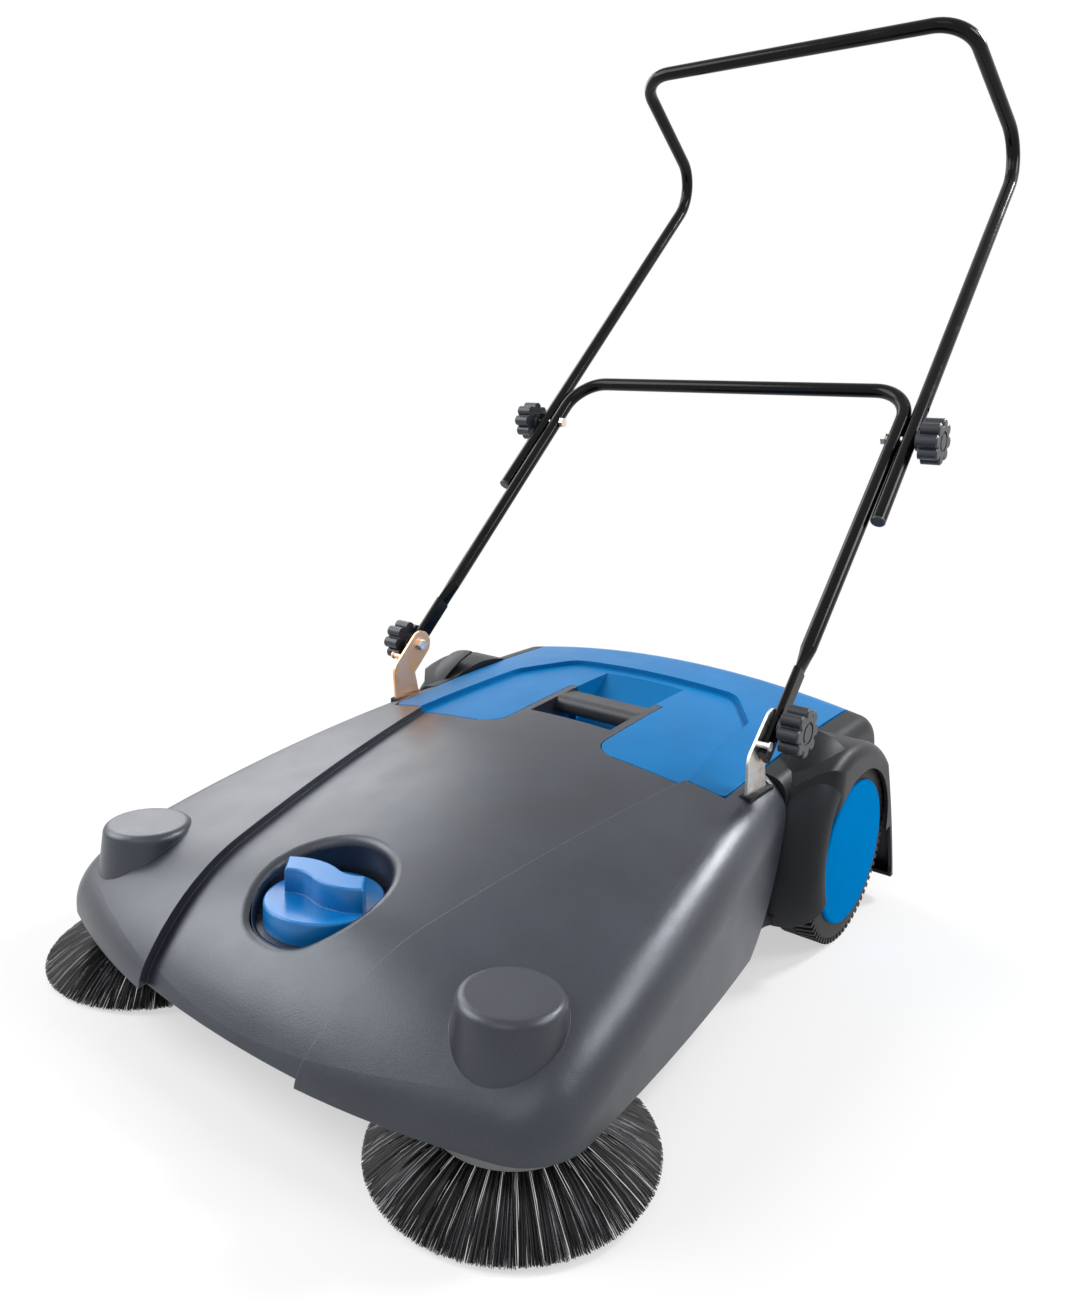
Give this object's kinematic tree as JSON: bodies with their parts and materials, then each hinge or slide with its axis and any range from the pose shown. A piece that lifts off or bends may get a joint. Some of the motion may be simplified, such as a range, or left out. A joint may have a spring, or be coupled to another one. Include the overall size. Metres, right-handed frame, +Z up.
{
  "type": "push sweeper",
  "caption": "Walk-behind push sweeper with side brooms, sweeping roller, slide-out hopper under a blue lid, belt drive from the wheel and a folding two-part tube handle.",
  "frame": {"origin": "on the floor, midway between the two wheels and under their common axle", "axes": "+X to the machine's right, +Y back towards the operator, +Z up"},
  "size_m": [0.7004, 1.0985, 1.0525],
  "materials": {
    "hood_plastic": "satin",
    "lid_plastic": "satin",
    "trim_plastic": "satin",
    "grip_plastic": "satin",
    "hub_plastic": "satin",
    "tyre_rubber": "matte",
    "belt_rubber": "matte",
    "bristle_nylon": "gloss",
    "tube_paint": "gloss",
    "zinc_steel": "satin",
    "frame_steel": "satin"
  },
  "bodies": {
    "body": {"front_hood": "hood_plastic", "carry_grip": "grip_plastic", "hood_screws": "zinc_steel", "chassis_frame": "frame_steel", "dust_flap": "belt_rubber", "right_wheel_housing": "hood_plastic", "left_wheel_housing": "hood_plastic", "housing_screws": "zinc_steel", "stub_axles": "zinc_steel", "wheel_clips": "zinc_steel", "roller_bearings": "trim_plastic", "right_broom_bush": "trim_plastic", "left_broom_bush": "trim_plastic", "drive_belt": "belt_rubber", "right_broom_belt": "belt_rubber", "left_broom_belt": "belt_rubber", "right_handle_bracket": "zinc_steel", "left_handle_bracket": "zinc_steel", "bracket_screws": "zinc_steel", "right_bracket_collar": "trim_plastic", "left_bracket_collar": "trim_plastic", "pivot_bolts": "zinc_steel"},
    "hopper": {"hopper_bin": "lid_plastic", "hopper_lid": "lid_plastic"},
    "right_wheel": {"right_tyre": "tyre_rubber", "right_wheel_rim": "trim_plastic", "right_hubcap": "lid_plastic", "wheel_pulley": "trim_plastic"},
    "left_wheel": {"left_tyre": "tyre_rubber", "left_wheel_rim": "trim_plastic", "left_hubcap": "lid_plastic", "wheel_spacer": "trim_plastic"},
    "sweeping_roller": {"roller_shaft": "zinc_steel", "roller_core": "trim_plastic", "roller_bristles": "bristle_nylon", "right_roller_pulley": "trim_plastic", "left_roller_pulley": "trim_plastic"},
    "right_broom": {"right_broom_spindle": "zinc_steel", "right_broom_hub": "hub_plastic", "right_broom_bristles": "bristle_nylon", "right_broom_pulley": "trim_plastic"},
    "left_broom": {"left_broom_spindle": "zinc_steel", "left_broom_hub": "hub_plastic", "left_broom_bristles": "bristle_nylon", "left_broom_pulley": "trim_plastic"},
    "height_knob": {"adjusting_knob": "lid_plastic", "adjusting_screw": "zinc_steel"},
    "support_fork_body": {"support_fork": "zinc_steel", "support_axle": "zinc_steel"},
    "support_roller_body": {"support_roller": "trim_plastic"},
    "lower_loop": {"lower_handle": "tube_paint", "clamp_bolts": "zinc_steel"},
    "upper_loop": {"upper_handle": "tube_paint", "handle_caps": "trim_plastic"},
    "right_pivot_knob_body": {"right_pivot_knob": "trim_plastic"},
    "left_pivot_knob_body": {"left_pivot_knob": "trim_plastic"},
    "right_clamp_knob_body": {"right_clamp_knob": "trim_plastic"},
    "left_clamp_knob_body": {"left_clamp_knob": "trim_plastic"}
  },
  "joints": [
    {"name": "hopper_pull", "type": "slide", "parent": "body", "child": "hopper", "axis": [0, 1, 0], "range_m": [0, 0.3]},
    {"name": "right_wheel_spin", "type": "hinge", "parent": "body", "child": "right_wheel", "pos_m": [0.269, 0, 0.108], "axis": [1, 0, 0], "continuous": true},
    {"name": "left_wheel_spin", "type": "hinge", "parent": "body", "child": "left_wheel", "pos_m": [-0.269, 0, 0.108], "axis": [1, 0, 0], "continuous": true},
    {"name": "sweeping_roller_spin", "type": "hinge", "parent": "body", "child": "sweeping_roller", "pos_m": [0, -0.326, 0.0722], "axis": [1, 0, 0], "continuous": true},
    {"name": "right_broom_spin", "type": "hinge", "parent": "body", "child": "right_broom", "pos_m": [0.232, -0.524, 0.00736], "axis": [0, -0.0523, 0.9986], "continuous": true},
    {"name": "left_broom_spin", "type": "hinge", "parent": "body", "child": "left_broom", "pos_m": [-0.232, -0.524, 0.00736], "axis": [0, -0.0523, 0.9986], "continuous": true},
    {"name": "height_knob_turn", "type": "hinge", "parent": "body", "child": "height_knob", "pos_m": [0, -0.514, 0.125], "axis": [0, 0, -1], "range_deg": [0, 720]},
    {"name": "support_fork_lift", "type": "slide", "parent": "body", "child": "support_fork_body", "axis": [0, 0, 1], "range_m": [0, 0.012]},
    {"name": "support_roller_spin", "type": "hinge", "parent": "support_fork_body", "child": "support_roller_body", "pos_m": [0, -0.514, 0.025], "axis": [1, 0, 0], "continuous": true},
    {"name": "lower_handle_fold", "type": "hinge", "parent": "body", "child": "lower_loop", "pos_m": [0, -0.142, 0.2745], "axis": [1, 0, 0], "range_deg": [0, 129]},
    {"name": "upper_handle_fold", "type": "hinge", "parent": "lower_loop", "child": "upper_loop", "pos_m": [0, 0.12602, 0.56192], "axis": [1, 0, 0], "range_deg": [-100, 0]},
    {"name": "right_pivot_knob_turn", "type": "hinge", "parent": "body", "child": "right_pivot_knob_body", "pos_m": [0.268, -0.142, 0.2745], "axis": [1, 0, 0], "range_deg": [0, 720]},
    {"name": "right_clamp_knob_turn", "type": "hinge", "parent": "lower_loop", "child": "right_clamp_knob_body", "pos_m": [0.282, 0.12602, 0.56192], "axis": [1, 0, 0], "range_deg": [0, 720]},
    {"name": "left_pivot_knob_turn", "type": "hinge", "parent": "body", "child": "left_pivot_knob_body", "pos_m": [-0.268, -0.142, 0.2745], "axis": [-1, 0, 0], "range_deg": [0, 720]},
    {"name": "left_clamp_knob_turn", "type": "hinge", "parent": "lower_loop", "child": "left_clamp_knob_body", "pos_m": [-0.282, 0.12602, 0.56192], "axis": [-1, 0, 0], "range_deg": [0, 720]}
  ],
  "couplings": [
    {"joint": "sweeping_roller_spin", "follows": "right_wheel_spin", "ratio": 2},
    {"joint": "right_broom_spin", "follows": "right_wheel_spin", "ratio": -1},
    {"joint": "left_broom_spin", "follows": "right_wheel_spin", "ratio": 1},
    {"joint": "support_fork_lift", "follows": "height_knob_turn", "m_per_rad": 0.00095493}
  ]
}
